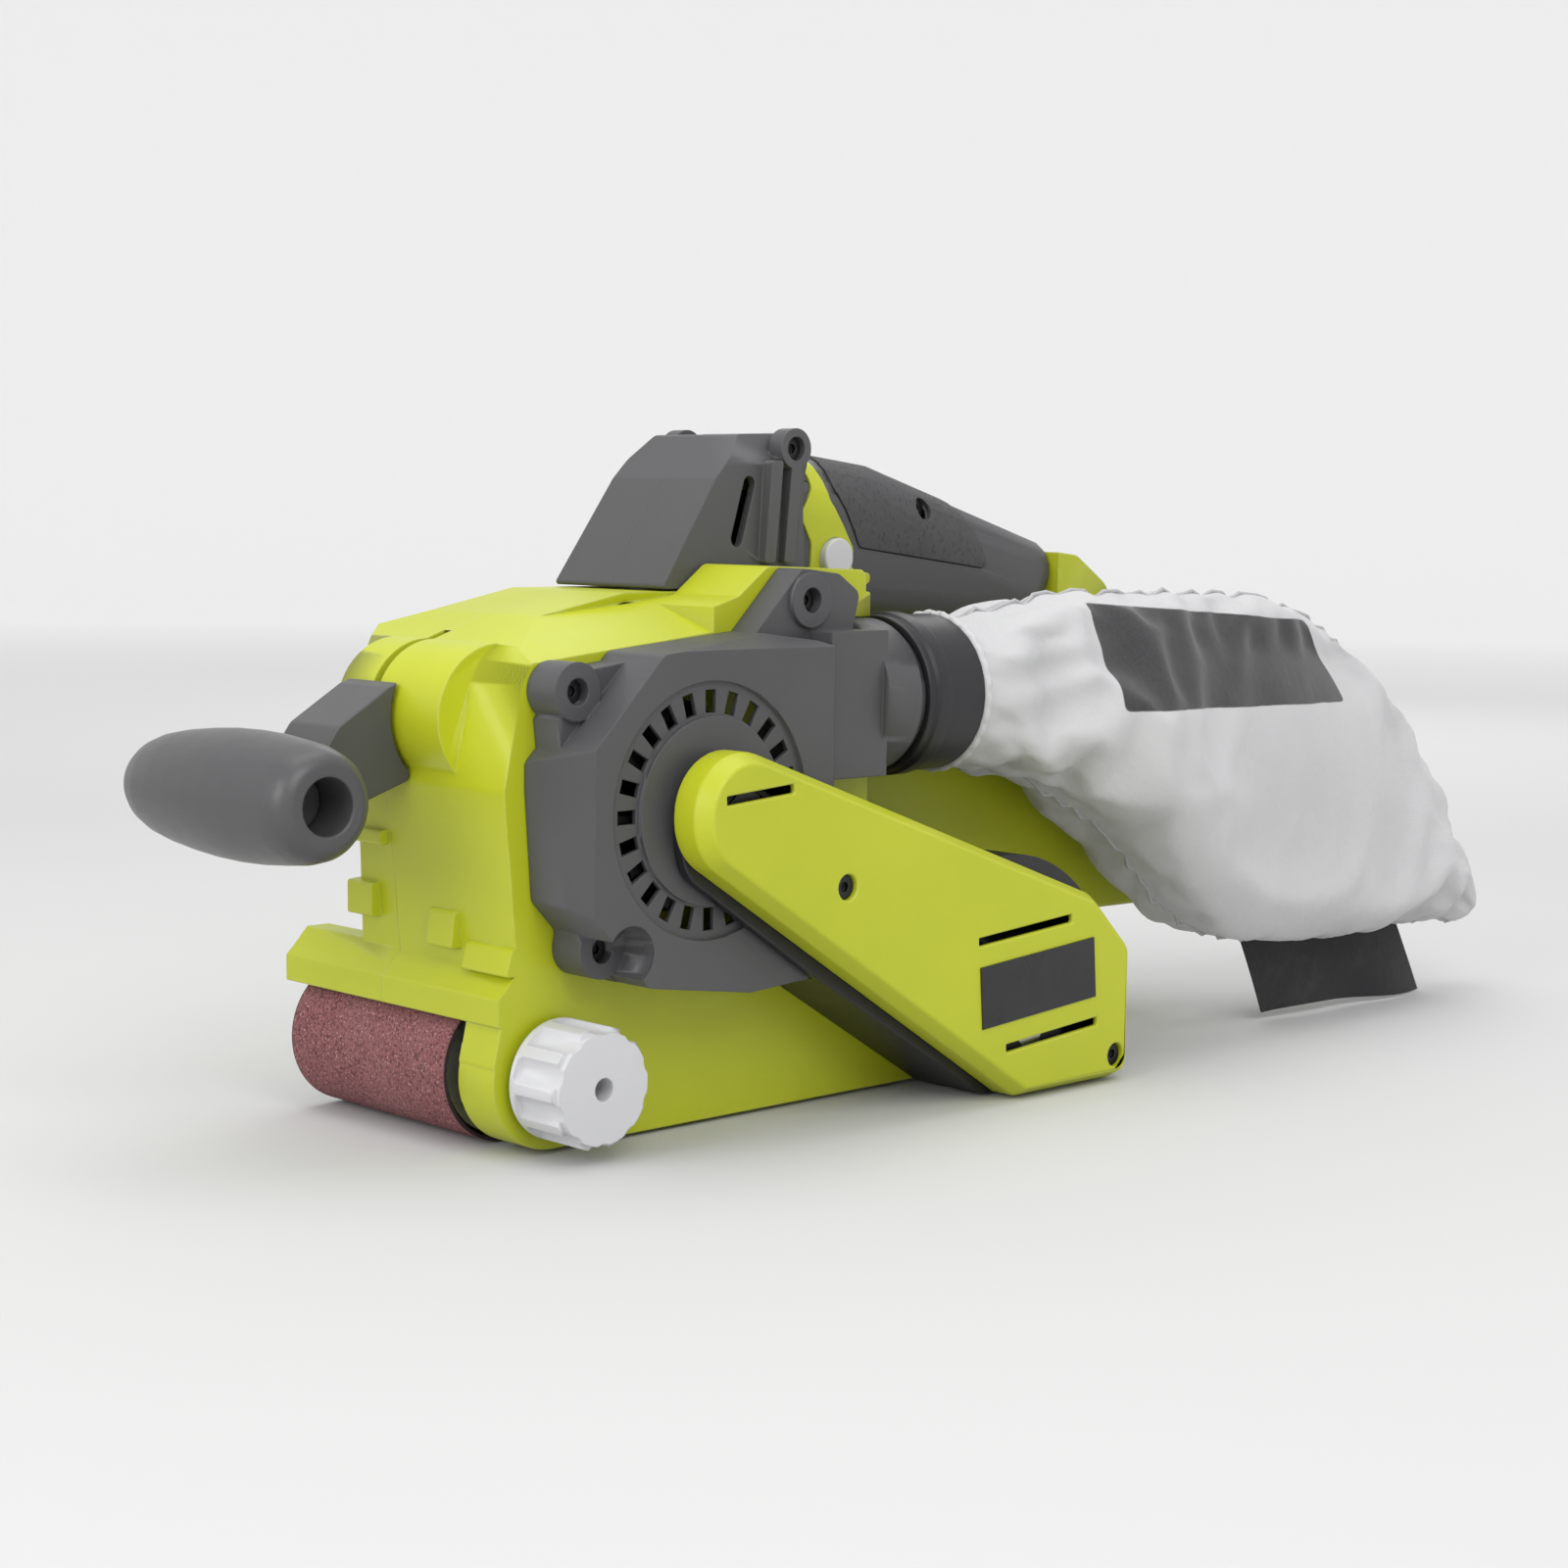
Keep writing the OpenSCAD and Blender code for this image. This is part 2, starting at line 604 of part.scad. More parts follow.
// ---- fasteners ----
module body_screws() {
    color(steel)
    mirror([0, 1, 0]) {
        for (p = block_posts) screw_y(p[0], p[1], -block_seat - head_h, 24);
        for (p = rear_posts) screw_y(p[0], p[1], -p[3] - head_h, -p[2]);
    }
}
module head_screws() {
    color(steel)
    for (p = head_screw_spots) screw_y(p[0], p[1], p[2] - head_h, head_screw_end);
}
module cover_screws() {
    color(steel)
    for (p = cover_bosses) screw_y(p[0], p[1], boss_seat - head_h, side_y + 13);
}
module drive_cover_screws() {
    color(steel)
    for (p = cover_screw_spots) screw_y(p[0], p[1], drive_cover_seat - head_h, -77);
}
module frame_screws() {
    color(steel)
    mirror([0, 1, 0]) for (p = frame_holes) screw_y(p[0], p[1], -flange_y[1] - head_h, 54);
}

// ---- frame, platen and abrasive belt ----
module sanding_frame() {
    color(alloy)
    difference() {
        union() {
            slab(-36, 36) outline([[-43, 4, 2], [46, 4, 2], [50, 12, 3], [50, 34, 4], [44, 40, 3],
                [-38, 40, 3],
                [-43, 34, 3]]);
            slab(-42, -36) outline([[-42, 6, 1], [46, 6, 1], [46, 38, 1], [-42, 38, 1]]);
            slab(flange_y[0], flange_y[1])
                outline([[-43, 4, 2], [98, 4, 8], [114, 22, 8], [114, 49.6, 5], [-43, 49.6, 2]]);
            rod_y(rear_x, axle_z, -57.5, -41, 17.5);
            for (z = [12, 28.4]) box([-28, 36, z], [-14, 47, z + 3.6]);
        }
        box([-44, -12.4, 14.6], [26, 12.4, 29.4]);
        for (x = [-36, 6]) for (y = [-33, 16]) box([x, y, 8], [x + 36, y + 17, 41]);
        rod_y(rear_x, axle_z, -58, -40, 14 + fit_gap);
        for (p = frame_holes) rod_y(p[0], p[1], -60, -40, hole_r);
        rod_z(-21, 42, 10, 34, 2 + fit_gap);
    }
}
module platen_pad() { color(charcoal) box([-58, -36, belt_t], [58, 36, pad_top]); }
module platen_plate() {
    color(steel)
    box([-60, -36, pad_top], [60, 36, 3.95]);
}
module sanding_belt() {
    color([0.55, 0.32, 0.32])
    slab(-belt_w / 2, belt_w / 2) difference() {
        loop_2d(wrap_r + belt_t);
        loop_2d(wrap_r);
    }
}

// ---- front roller, its sprung carriage and the tracking knob ----
module roller_profile(half, r_mid, r_end, bore) {
    rotate([90, 0, 0]) rotate_extrude() polygon([[bore, -half], [r_end, -half], [r_mid, -half / 3],
        [r_mid, half / 3], [r_end, half], [bore, half]]);
}
module front_roller() {
    half = roller_len / 2;
    color(alloy)
    difference() {
        translate([front_x, 0, axle_z]) roller_profile(half, roller_r, roller_end_r, 8);
        rod_y(front_x, axle_z, -half - 1, -half + 7, 11);
        rod_y(front_x, axle_z, half - 7, half + 1, 11);
    }
}
module front_bearings() {
    half = roller_len / 2;
    color(steel)
    for (y = [-half, half - 7]) tube_y(front_x, axle_z, y, y + 7, 11, front_axle_r + run_gap);
}
module front_axle() { color(steel) rod_y(front_x, axle_z, -45.5, 41.5, front_axle_r); }
module roller_carriage() {
    color(steel)
    difference() {
        union() {
            box([-56.5, -40.4, 13], [-50, 40.4, 31]);
            box([-60, -54.4, 13], [-51, -40, 31]);
            for (y = [[-54.4, -50], [-40.4, -36.6], [36.6, 40.4]]) {
                slab(y[0], y[1]) translate([front_x, axle_z]) circle(8.8);
                box([front_x, y[0], axle_z - 8.8], [-51, y[1], axle_z + 8.8]);
            }
            box([-51, -12, 15], [-8, 12, 29]);
        }
        slab(-41, -36) slot_2d([front_x - 1.1, axle_z], [front_x + 1.1, axle_z], 2 * front_axle_r + 0.3);
        rod_y(front_x, axle_z, 36, 41, front_axle_r + 0.08);
        rod_y(front_x, axle_z, -56, -49, 5 + run_gap);
    }
}
module tension_spring() {
    color(steel)
    translate([-7.9, 0, axle_z]) rotate([0, 90, 0]) coil(5, 0.8, 33.6, 8);
}
module tension_lever() {
    color(charcoal)
    difference() {
        union() {
            rod_z(-21, 42, 16, 28, 4.5);
            plan(16, 28)
                polygon([[-25, 39], [-21, 38.6], [26, 38.8], [34, 41], [35, 45], [24, 44], [-21, 46.4]]);
        }
        rod_z(-21, 42, 10, 34, 2 + run_gap);
    }
}
module lever_pin() { color(steel) rod_z(-21, 42, 12, 32, 2); }
knob_face = -82;
knob_r = 17.4;
module tracking_knob() {
    flutes = 10;
    color([0.87, 0.87, 0.88])
    difference() {
        union() {
            rod_y(front_x, axle_z, knob_face + 2, -61.6, knob_r);
            rod_y(front_x, axle_z, knob_face, knob_face + 4, knob_r - 1.4);
        }
        for (i = [0:flutes - 1]) translate([front_x, 0, axle_z]) rotate([0, (i + 0.5) * 360 / flutes, 0])
            rod_y(knob_r + 3.2, 0, knob_face - 1, -64, 5.2);
        rod_y(front_x, axle_z, knob_face - 1, -60, 3.3);
        rod_y(front_x, axle_z, -66, -60, 5);
    }
}
module tracking_shaft() {
    color(steel)
    difference() {
        union() {
            rod_y(front_x, axle_z, -66, -49.6, 5);
            rod_y(front_x, axle_z, -49.6, -41, 8);
        }
        translate([0, 0, -0.8]) rod_y(front_x, axle_z, -46, -40, 5.4);
    }
}

// ---- rear drive roller and belt drive ----
module drive_roller() {
    color(alloy) tube_y(rear_x, axle_z, -roller_len / 2, roller_len / 2, roller_r - 3.5, drive_shaft_r);
}
module drive_sleeve() {
    color(charcoal) tube_y(rear_x, axle_z, -roller_len / 2, roller_len / 2, roller_r, roller_r - 3.5);
}
module drive_shaft() { color(steel) rod_y(rear_x, axle_z, -98.2, roller_len / 2, drive_shaft_r); }
module drive_bearings() {
    color(steel)
    for (y = [-57.5, -49.1]) tube_y(rear_x, axle_z, y, y + 8, 14, drive_shaft_r + run_gap);
}
module pulley(x, z, r, bore, lip) {
    difference() {
        union() {
            rod_y(x, z, belt_plane[0] + 1, belt_plane[1] - 1, r);
            rod_y(x, z, belt_plane[1] - 1.2, belt_plane[1] + 0.4, r + lip);
        }
        rod_y(x, z, -110, -80, bore);
    }
}
module driven_pulley() { color(alloy) pulley(rear_x, axle_z, driven_pulley_r, drive_shaft_r, 1.6); }
module motor_pulley() { color(steel) pulley(motor_x, motor_z, motor_pulley_r, motor_shaft_r, 1.6); }
module drive_belt() {
    color(charcoal)
    slab(belt_plane[0] + 1.4, belt_plane[1] - 1.5) difference() {
        open_belt_2d([motor_x, motor_z], motor_pulley_r + 1.9, [rear_x, axle_z], driven_pulley_r + 1.9);
        open_belt_2d([motor_x, motor_z], motor_pulley_r + 0.3, [rear_x, axle_z], driven_pulley_r + 0.3);
    }
}

// ---- brushless motor ----
module motor_stator() {
    color([0.66, 0.4, 0.22])
    difference() {
        rod_y(motor_x, motor_z, -42, 0, stator_r);
        rod_y(motor_x, motor_z, -43, 1, 16.5);
        for (i = [0:11]) translate([motor_x, 0, motor_z]) rotate([0, i * 30, 0])
            rod_y(20.6, 0, -43, 1, 2.6);
    }
}
module motor_rotor() { color(alloy) tube_y(motor_x, motor_z, -40, -2, 16, motor_shaft_r); }
module motor_shaft() { color(steel) rod_y(motor_x, motor_z, -98.4, 21, motor_shaft_r); }
module motor_bearings() {
    color(steel)
    for (y = [-58, 13.5]) tube_y(motor_x, motor_z, y, y + 7, 11, motor_shaft_r + run_gap);
}
module motor_fan() {
    blades = 11;
    color([0.2, 0.2, 0.22])
    difference() {
        union() {
            rod_y(motor_x, motor_z, -64, -62, 31);
            rod_y(motor_x, motor_z, -77, -62, 9);
            for (i = [0:blades - 1]) translate([motor_x, 0, motor_z]) rotate([0, i * 360 / blades, 0])
                translate([12, -77, -1]) rotate([0, 24, 0]) cube([18, 14, 2]);
        }
        rod_y(motor_x, motor_z, -80, -60, motor_shaft_r);
    }
}

// ---- electrics and controls ----
module control_board() {
    color([0.1, 0.35, 0.2]) {
        box([76, -22, 70], [136, 20, 72]);
        for (x = [84, 100, 116]) rod_z(x, -10, 72, 88, 7);
        box([80, 4, 72], [130, 17, 84]);
    }
}
module wire_block() { color([0.8, 0.8, 0.78]) box([56, -16, 62], [70, 8, 78]); }
module switch_module() { color(charcoal) box([76, -13, 166.6], [100, 5, 182]); }
trigger_pts = [[65, 141, 3], [92, 138.5, 3], [94.5, 150, 1], [93, 156, 2], [65, 158, 2]];
module trigger() {
    color(charcoal)
    difference() {
        slab(-9.5, 1.5) outline(trigger_pts);
        rod_y(68, 155, -12, 4, 1.5 + run_gap);
    }
}
module trigger_pin() { color(steel) rod_y(68, 155, -13.5, 5.5, 1.5); }
module trigger_spring() { color(steel) translate([87, -4, 156.6]) coil(2.6, 0.5, 9.8, 5); }
module lock_button() {
    color([0.8, 0.8, 0.82]) {
        rod_y(button_at[0], button_at[1], -25.2, -12.5, 6.5);
    }
}
module battery_socket() {
    color(charcoal)
    difference() {
        box([172, -30, 48], [231.5, 30, 116]);
        box([178, -26, 52], [240, 26, 112]);
    }
}
module battery_terminals() {
    color([0.8, 0.62, 0.3])
    for (y = [-15, -5, 5, 15]) box([178, y - 0.4, 76], [190, y + 0.4, 88]);
}

// ---- front handle ----
// the grip's outline from its far end to its near end: share of the radius, share of the half length
grip_shape = [[0.22, 1], [0.42, 0.965], [0.58, 0.90], [0.70, 0.80], [0.80, 0.66], [0.88, 0.46],
    [0.94, 0.22], [0.975, 0], [0.985, -0.22], [0.97, -0.42], [0.93, -0.62], [0.885, -0.80],
    [0.82, -0.91], [0.74, -0.965], [0.62, -1]];
module front_grip() {
    half = grip_len / 2;
    color(grey)
    difference() {
        union() {
            translate([grip_axis[0], 0, grip_axis[1]]) rotate([90, 0, 0]) rotate_extrude()
                polygon(concat([[0, -half]],
                    [for (s = grip_shape) [s[0] * grip_r, -s[1] * half]],
                    [[0, half]]));
        }
        rod_y(grip_axis[0], grip_axis[1], -60, grip_len / 2 - 10, 8);
        box([grip_axis[0] + 2, -17, 92], [-100, 9, 112]);
    }
}
module grip_bracket() {
    color(grey) {
        difference() {
            union() {
                slab(-16, 8) outline([[grip_axis[0] + 4, 94.5, 2], [-126, 94.5, 4], [-98, 104, 2],
                    [-98, 134, 2],
                    [-106, 131, 5], [-123, 120.5, 5], [-129.5, 111.4, 2], [grip_axis[0] + 4, 109.5, 2]]);
                rod_y(grip_axis[0], grip_axis[1], -30, 30, 8 - fit_gap);
            }
            rod_y(pivot[0], pivot[1], -40, 40, pivot_r + 1.2);
        }
        difference() {
            union() {
                rod_y(pivot[0], pivot[1], -5.2, -2.8, 19);
                slab(-5.2, -2.8) polygon([[-110, 112], [-80, 104], [-80, 138], [-108, 128]]);
            }
            rod_y(pivot[0], pivot[1], -10, 10, 4 + run_gap);
        }
    }
}
module grip_bolt() {
    color(steel) {
        rod_y(pivot[0], pivot[1], -39, nut_y[1], 4);
        rod_y(pivot[0], pivot[1], -39, -36.1, 7);
    }
}
module grip_nut() {
    color(steel)
    difference() {
        rod_y(pivot[0], pivot[1], nut_y[0], nut_y[1], 8, $fn = 6);
        rod_y(pivot[0], pivot[1], 0, 25, 4);
    }
}

// ---- dust bag ----
module bag_collar() {
    color(charcoal)
    difference() {
        union() {
            rod_x(port_axis[0], port_axis[1], 47, 72, port_r + 2.6);
            rod_x(port_axis[0], port_axis[1], 50, 56, port_r + 3.6);
        }
        rod_x(port_axis[0], port_axis[1], 46, 73, port_r + 0.1);
    }
}
bag_y = -69;
module dust_bag() {
    color([0.85, 0.85, 0.87])
    hull() {
        rod_x(port_axis[0], port_axis[1], 72.3, 74, port_r + 2);
        for (p = [[140, 128, 28], [228, 124, 30], [262, 112, 28], [344, 50, 26], [222, 62, 30],
            [160, 92, 26]])
            translate([p[0], bag_y, p[1]]) sphere(p[2], $fn = 30);
    }
}
module bag_tag() {
    color(charcoal)
    translate([228, bag_y, 33]) rotate([0, 3, 0]) box([0, -0.5, -27], [100, 0.5, 0]);
}

body_left();
body_right();
head_left();
head_right();
grip_left();
grip_right();
handle_trim_left();
handle_trim_right();
motor_cover();
drive_guard();
drive_cover();
cover_badge();
body_screws();
head_screws();
cover_screws();
drive_cover_screws();
sanding_frame();
frame_screws();
platen_plate();
platen_pad();
sanding_belt();
motor_stator();
motor_rotor();
motor_shaft();
motor_bearings();
motor_fan();
motor_pulley();
drive_belt();
driven_pulley();
drive_shaft();
drive_bearings();
drive_roller();
drive_sleeve();
front_roller();
front_bearings();
front_axle();
roller_carriage();
tension_spring();
tension_lever();
lever_pin();
tracking_knob();
tracking_shaft();
control_board();
wire_block();
switch_module();
trigger();
trigger_pin();
trigger_spring();
lock_button();
battery_socket();
battery_terminals();
front_grip();
grip_bracket();
grip_bolt();
grip_nut();
bag_collar();
dust_bag();
bag_tag();
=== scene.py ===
"""Looks for the handheld belt sander: materials, softened shells, the fabric bag, light and camera."""

import json
import math

import bmesh
import bpy
import numpy as np
from mathutils import Matrix, Vector, noise


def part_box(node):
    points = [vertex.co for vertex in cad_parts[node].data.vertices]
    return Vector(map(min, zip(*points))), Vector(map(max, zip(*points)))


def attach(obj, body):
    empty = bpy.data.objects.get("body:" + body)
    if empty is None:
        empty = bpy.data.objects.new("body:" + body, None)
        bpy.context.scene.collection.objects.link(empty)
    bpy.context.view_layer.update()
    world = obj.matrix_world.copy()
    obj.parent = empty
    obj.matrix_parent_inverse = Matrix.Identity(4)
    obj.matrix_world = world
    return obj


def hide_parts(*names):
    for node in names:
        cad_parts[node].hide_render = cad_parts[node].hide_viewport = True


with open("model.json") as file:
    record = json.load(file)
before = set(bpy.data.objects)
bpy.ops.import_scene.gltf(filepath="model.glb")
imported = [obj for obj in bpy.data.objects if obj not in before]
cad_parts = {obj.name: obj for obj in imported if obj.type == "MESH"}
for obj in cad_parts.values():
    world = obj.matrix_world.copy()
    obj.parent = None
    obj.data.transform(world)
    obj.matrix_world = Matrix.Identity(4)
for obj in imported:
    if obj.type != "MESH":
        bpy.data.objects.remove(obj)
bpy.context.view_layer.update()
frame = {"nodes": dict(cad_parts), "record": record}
nodes = frame["nodes"]
body_of_node = {n: b for b, ns in frame["record"]["behaviour"]["bodies"].items() for n in ns}
slot_of_node = {s["node"]: s["material_slot"] for s in frame["record"]["subparts"]}
MM = 0.001
scene = bpy.context.scene
scene.view_settings.view_transform = "Standard"


# ---------------------------------------------------------------- materials
class Graph:
    """A short way to write a material's nodes."""

    def __init__(self, name):
        self.mat = bpy.data.materials.new(name)
        self.mat.use_nodes = True
        self.tree = self.mat.node_tree
        self.shader = self.tree.nodes["Principled BSDF"]
        self.at = self.make("ShaderNodeTexCoord").outputs["Object"]
        self.uv = self.make("ShaderNodeTexCoord").outputs["UV"]

    def make(self, kind, **values):
        node = self.tree.nodes.new(kind)
        for key, value in values.items():
            setattr(node, key, value)
        return node

    def put(self, socket, value):
        if isinstance(value, bpy.types.NodeSocket):
            self.tree.links.new(value, socket)
        elif isinstance(value, (tuple, list)) and len(value) == 3 and socket.type == "RGBA":
            socket.default_value = (*value, 1)
        else:
            socket.default_value = value

    def set(self, **values):
        for key, value in values.items():
            self.put(self.shader.inputs[key.replace("_", " ")], value)

    def math(self, kind, a, b=0.0, c=0.0):
        node = self.make("ShaderNodeMath", operation=kind)
        for socket, value in zip(node.inputs, (a, b, c)):
            self.put(socket, value)
        return node.outputs[0]

    def vector(self, kind, a, b=(0, 0, 0)):
        node = self.make("ShaderNodeVectorMath", operation=kind)
        self.put(node.inputs[0], a)
        self.put(node.inputs[1], b)
        return node.outputs["Value" if kind in ("DOT_PRODUCT", "LENGTH") else "Vector"]

    def noise(self, scale, detail=3.0, rough=0.55, at=None):
        node = self.make("ShaderNodeTexNoise")
        self.put(node.inputs["Vector"], at or self.at)
        self.put(node.inputs["Scale"], scale)
        self.put(node.inputs["Detail"], detail)
        self.put(node.inputs["Roughness"], rough)
        return node.outputs["Fac"]

    def cells(self, scale, at=None):
        node = self.make("ShaderNodeTexVoronoi", feature="F1")
        self.put(node.inputs["Vector"], at or self.at)
        self.put(node.inputs["Scale"], scale)
        return node.outputs["Distance"]

    def stretch(self, factors):
        return self.vector("MULTIPLY", self.at, factors)

    def span(self, value, low, high, to_low=0.0, to_high=1.0):
        node = self.make("ShaderNodeMapRange")
        node.clamp = True
        for socket, v in zip(node.inputs, (value, low, high, to_low, to_high)):
            self.put(socket, v)
        return node.outputs[0]

    def mix(self, factor, a, b):
        node = self.make("ShaderNodeMix", data_type="RGBA", blend_type="MIX")
        self.put(node.inputs[0], factor)
        self.put(node.inputs[6], a)
        self.put(node.inputs[7], b)
        return node.outputs[2]

    def bump(self, height, distance, normal=None):
        node = self.make("ShaderNodeBump")
        self.put(node.inputs["Strength"], 1.0)
        self.put(node.inputs["Distance"], distance)
        self.put(node.inputs["Height"], height)
        if normal:
            self.put(node.inputs["Normal"], normal)
        return node.outputs["Normal"]

    def edges(self, radius):
        """1 on outside edges, 0 elsewhere, from how far the rounded normal leaves the true one."""
        soft = self.make("ShaderNodeBevel", samples=4)
        self.put(soft.inputs["Radius"], radius)
        true = self.make("ShaderNodeNewGeometry")
        same = self.vector("DOT_PRODUCT", soft.outputs["Normal"], true.outputs["Normal"])
        return self.span(same, 0.995, 0.93)


def tint(colour, by):
    return tuple(min(1.0, c * by) for c in colour)


def plastic(name, colour, rough=0.45, grain=1400, depth=0.00002, tone=0.10, wear=0.30, coat=0.0):
    g = Graph(name)
    rounded = g.make("ShaderNodeBevel", samples=6)
    g.put(rounded.inputs["Radius"], 0.0007)
    broad = g.noise(9, 4)
    cloud = g.noise(60, 5, 0.6)
    fine = g.noise(grain, 2, 0.5)
    scuff = g.span(g.noise(140, 6, 0.7, g.stretch((1, 1, 7))), 0.60, 0.74)
    base = g.mix(g.span(broad, 0.35, 0.65), tint(colour, 1 - tone), tint(colour, 1 + tone * 0.6))
    base = g.mix(g.math("MULTIPLY", scuff, 0.12), base, tint(colour, 1.5))
    rim = g.math("MULTIPLY", g.edges(0.0009), g.span(cloud, 0.35, 0.70))
    worn = tint(colour, 1.9) if sum(colour) < 0.6 else (0.80, 0.82, 0.45)
    base = g.mix(g.math("MULTIPLY", rim, wear), base, worn)
    g.set(Base_Color=base)
    roughness = g.math("ADD", g.math("MULTIPLY", cloud, 0.16), rough - 0.08)
    roughness = g.math("ADD", roughness, g.math("MULTIPLY", scuff, 0.10))
    g.set(Roughness=roughness, IOR=1.49, Coat_Weight=coat, Coat_Roughness=0.35)
    height = g.math("ADD", fine, g.math("MULTIPLY", cloud, 0.6))
    g.set(Normal=g.bump(height, depth, rounded.outputs["Normal"]))
    return g.mat


def metal(name, colour, rough=0.32, brushed=(1, 40, 1), depth=0.00001, cast=False):
    g = Graph(name)
    streak = g.noise(120, 5, 0.6, g.stretch(brushed))
    cloud = g.noise(45, 4)
    grain = g.cells(900) if cast else streak
    base = g.mix(g.span(cloud, 0.3, 0.7), tint(colour, 0.86), tint(colour, 1.06))
    base = g.mix(g.math("MULTIPLY", g.edges(0.0006), 0.4), base, tint(colour, 1.3))
    g.set(Base_Color=base, Metallic=1.0)
    g.set(Roughness=g.math("ADD", g.math("MULTIPLY", streak, 0.22), rough - 0.08))
    g.set(Normal=g.bump(grain, 0.00006 if cast else depth))
    return g.mat


def rubber(name, colour, dimple=None):
    g = Graph(name)
    cloud = g.noise(70, 5, 0.6)
    dust = g.span(g.noise(420, 4, 0.7), 0.58, 0.75)
    base = g.mix(g.span(cloud, 0.3, 0.7), tint(colour, 0.85), tint(colour, 1.15))
    base = g.mix(g.math("MULTIPLY", dust, 0.10), base, (0.35, 0.33, 0.30))
    normal = g.bump(g.noise(2200, 2), 0.00002)
    if dimple:
        cell = g.cells(dimple, at=g.stretch((1, 0.8, 0.55)))
        pit = g.span(cell, 0.15, 0.42)
        normal = g.bump(pit, 0.00022, normal)
        # painted shade: each dimple's hollow is painted up to 35% of the way towards a darker tone, following
        # the pit mask
        base = g.mix(g.math("MULTIPLY", g.math("SUBTRACT", 1.0, pit), 0.35), base, tint(colour, 0.45))
    g.set(Base_Color=base, Roughness=g.span(cloud, 0.3, 0.7, 0.62, 0.76))
    g.set(Normal=normal, Specular_IOR_Level=0.4)
    return g.mat


def abrasive():
    g = Graph("abrasive_grit")
    grit = g.cells(2300)
    speck = g.span(g.noise(1500, 2, 0.6), 0.60, 0.68)
    dark = g.span(g.noise(1100, 3, 0.6), 0.36, 0.52)
    broad = g.noise(30, 4)
    base = g.mix(dark, (0.075, 0.022, 0.026), (0.250, 0.092, 0.098))
    base = g.mix(speck, base, (0.52, 0.30, 0.29))
    base = g.mix(g.math("MULTIPLY", g.span(broad, 0.45, 0.75), 0.22), base, (0.42, 0.26, 0.24))
    across = g.math("ABSOLUTE", g.vector("DOT_PRODUCT", g.at, (0, 1, 0)))
    base = g.mix(g.span(across, 0.0374, 0.0379), base, (0.035, 0.022, 0.022))
    g.set(Base_Color=base, Roughness=0.85, Specular_IOR_Level=0.35)
    g.set(Normal=g.bump(grit, 0.00022, g.bump(g.noise(600, 3), 0.00012)))
    return g.mat


def weave(name, colour, threads, depth, patch=None, sheen=0.25):
    """Woven cloth. Its threads follow the piece's own UV, which is in metres."""
    g = Graph(name)
    parts = g.make("ShaderNodeSeparateXYZ")
    g.put(parts.inputs[0], g.uv)
    turn = 2 * math.pi * threads
    warp = g.math("SINE", g.math("MULTIPLY", parts.outputs[0], turn))
    weft = g.math("SINE", g.math("MULTIPLY", parts.outputs[1], turn))
    cloth = g.math("MULTIPLY", warp, weft)
    fuzz = g.noise(1600, 3, 0.7)
    broad = g.noise(14, 5, 0.6)
    grime = g.span(g.noise(26, 6, 0.65), 0.52, 0.78)
    base = g.mix(g.span(broad, 0.3, 0.7), tint(colour, 0.93), tint(colour, 1.03))
    # painted shade: the hollows between threads are painted up to 10% of the way towards a darker tone,
    # following the weave height
    base = g.mix(g.span(cloth, -1.0, 1.0, 0.10, 0.0), base, tint(colour, 0.6))
    base = g.mix(g.math("MULTIPLY", grime, 0.05), base, (0.55, 0.50, 0.44))
    if patch:
        wobble = g.math("MULTIPLY", g.math("SUBTRACT", g.noise(60, 3), 0.5), 0.0012)
        inside = None
        for (ax, az), (bx, bz) in zip(patch, patch[1:] + patch[:1]):
            edge = Vector((bx - ax, 0, bz - az)).normalized()
            side = Vector((edge.z, 0, -edge.x))
            reach = g.math("SUBTRACT", g.vector("DOT_PRODUCT", g.at, tuple(side)), side.x * ax + side.z * az)
            inside = reach if inside is None else g.math("SMOOTH_MIN", inside, reach, 0.004)
        near = g.span(g.vector("DOT_PRODUCT", g.at, (0, -1, 0)), 0.066, 0.0665)
        mask = g.math("MULTIPLY", g.span(g.math("ADD", inside, wobble), 0.0001, 0.0005), near)
        ink = g.mix(g.span(fuzz, 0.4, 0.75), (0.028, 0.028, 0.030), (0.060, 0.060, 0.063))
        base = g.mix(mask, base, ink)
        g.set(Roughness=g.span(mask, 0, 1, 0.82, 0.55))
    else:
        g.set(Roughness=g.span(broad, 0.3, 0.7, 0.74, 0.88))
    g.set(Base_Color=base, Sheen_Weight=sheen, Sheen_Roughness=0.5, Specular_IOR_Level=0.3)
    normal = g.bump(g.noise(220, 4, 0.6), 0.00025)
    g.set(Normal=g.bump(g.math("ADD", cloth, g.math("MULTIPLY", fuzz, 0.8)), depth, normal))
    return g.mat


def badge_label():
    """A plain dark label with a soft shine."""
    g = Graph("badge_label")
    fine = g.noise(1800, 2)
    cloud = g.noise(120, 5)
    base = g.mix(g.span(cloud, 0.3, 0.7), (0.008, 0.008, 0.009), (0.016, 0.016, 0.018))
    g.set(Base_Color=base, Roughness=g.span(cloud, 0.3, 0.7, 0.26, 0.42), Normal=g.bump(fine, 0.00001))
    return g.mat


